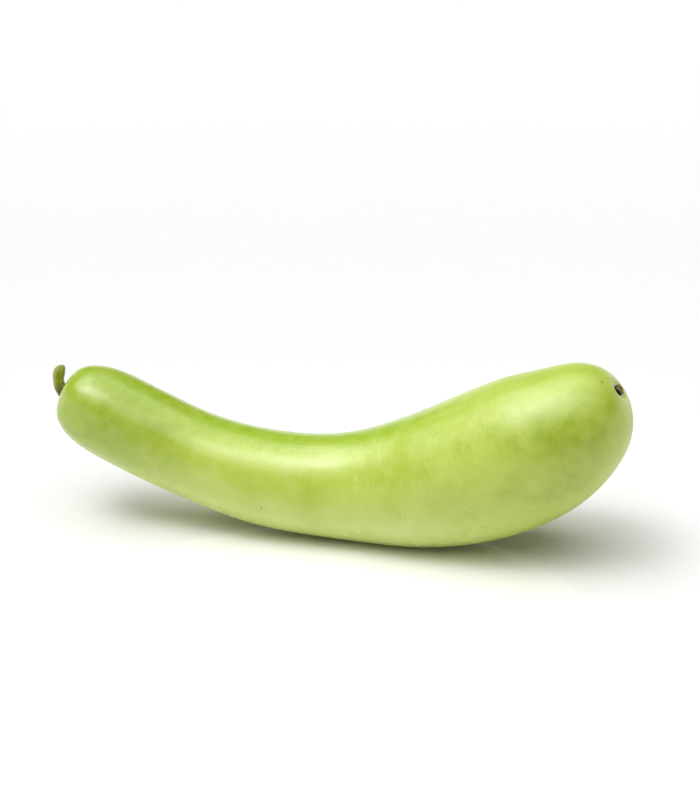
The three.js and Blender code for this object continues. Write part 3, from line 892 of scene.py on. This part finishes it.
def light_room():
    """A studio tent as the world: pale low walls, a soft ceiling, three soft boxes and a white card by the stalk."""
    world = bpy.data.worlds.new("studio_tent")
    bpy.context.scene.world = world
    world.use_nodes = True
    n = Nodes(world.node_tree)
    background = world.node_tree.nodes["Background"]
    background.inputs["Color"].default_value = (1, 1, 1, 1)
    looking = n.add("ShaderNodeTexCoord").outputs["Generated"]
    height = n.split(looking)["Z"]

    def spot(side, reach, edge, glow):
        facing = n.vector("DOT_PRODUCT", looking, toward(*side))
        lit = n.between(facing, math.cos(math.radians(reach + edge)), math.cos(math.radians(reach - edge)))
        return n.math("MULTIPLY", lit, glow)

    near_side = n.between(n.vector("DOT_PRODUCT", looking, toward(300, 0)), 0.05, 0.8, 1.0, NEAR_WALL)
    walls = n.math("MULTIPLY", n.math("MULTIPLY", n.between(height, 0.10, 0.36, 1.0, 0.0), WALL_GLOW), near_side)
    glow = n.math("ADD", walls, ROOM_GLOW)
    for light in [CEILING, WHITE_CARD] + SOFT_BOXES:
        glow = n.math("ADD", glow, spot(*light))
    n.feed(background.inputs["Strength"], glow)


def lay_floor():
    half, paleness = FLOOR["half"], FLOOR["paleness"]
    mesh = bpy.data.meshes.new("floor")
    mesh.from_pydata([(-half, -half, 0), (half, -half, 0), (half, half, 0), (-half, half, 0)], [], [(0, 1, 2, 3)])
    floor = bpy.data.objects.new("floor", mesh)
    bpy.context.collection.objects.link(floor)
    material, _, shader = plain_material("white_floor")
    shader.inputs["Base Color"].default_value = (paleness, paleness, paleness, 1)
    shader.inputs["Roughness"].default_value = FLOOR["roughness"]
    shader.inputs["Specular IOR Level"].default_value = FLOOR["specular"]
    mesh.materials.append(material)


# ------------------------------------------------------------------ the gourd put together

scene = bpy.context.scene
scene.view_settings.view_transform = "Standard"
scene.view_settings.look = "None"

set_camera()
light_room()
lay_floor()

turned_form = turned_form_tree()


def turned_piece(name, outline, line, extras, material, **values):
    """A piece turned round a middle line, from its outline."""
    stations = station_mesh(name + "_stations", outline, line, extras)
    return grown_piece(name, stations, turned_form, material, stations=len(outline), **values)


fruit_line = middle_line(gourd_start(), FRUIT_LENGTH, FRUIT_SLOPES, FRUIT_TURNS)
rind = turned_piece("rind", sunk_outline(RIND_RINGS), fruit_line, fruit_extras, rind_material(fruit_line), **RIND_TREE)
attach(rind, "root")
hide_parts("fruit")

seat_point, seat_forward = fruit_line(0)
stem_foot = seat_point + seat_forward * (STEM_SEAT["depth"] - SEAT_GAP)
stem_line = middle_line(stem_foot, STEM_LENGTH, STEM_SLOPES, STEM_TURNS)
stem = turned_piece("stalk", stem_outline(STALK_RINGS), stem_line, stem_extras, stem_material(), **STALK_TREE)
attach(stem, "root")
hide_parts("stem")

fuzz = grown_piece("stalk_fuzz", stem.data.copy(), fuzz_tree(), fuzz_material(), **FUZZ_TREE)
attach(fuzz, "root")

end_point, end_forward = fruit_line(FRUIT_LENGTH)
end_over, end_side = across(end_forward)
nub_foot = end_point + end_forward * (SEAT_GAP - NUB_SEAT["depth"]) + end_side * NUB_SHIFT
end_slope, end_turn = FRUIT_SLOPES[-1][1], FRUIT_TURNS[-1][1]
nub_line = middle_line(nub_foot, NUB_HEIGHT, [(0, end_slope), (1, end_slope)], [(0, end_turn), (1, end_turn)])
nub = turned_piece("flower_stub", nub_outline(STUB_RINGS), nub_line, nub_extras, nub_material(), **STUB_TREE)
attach(nub, "root")
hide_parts("blossom_nub")

shred_root = bpy.data.meshes.new("shred_root")
shred_root.from_pydata([nub_foot + end_forward * (NUB_HEIGHT * SHRED_RISE)], [], [])
shreds = grown_piece("petal_shreds", shred_root, shred_tree(), shred_material(), forward=end_forward, over=end_over,
                     **SHRED_TREE)
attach(shreds, "root")
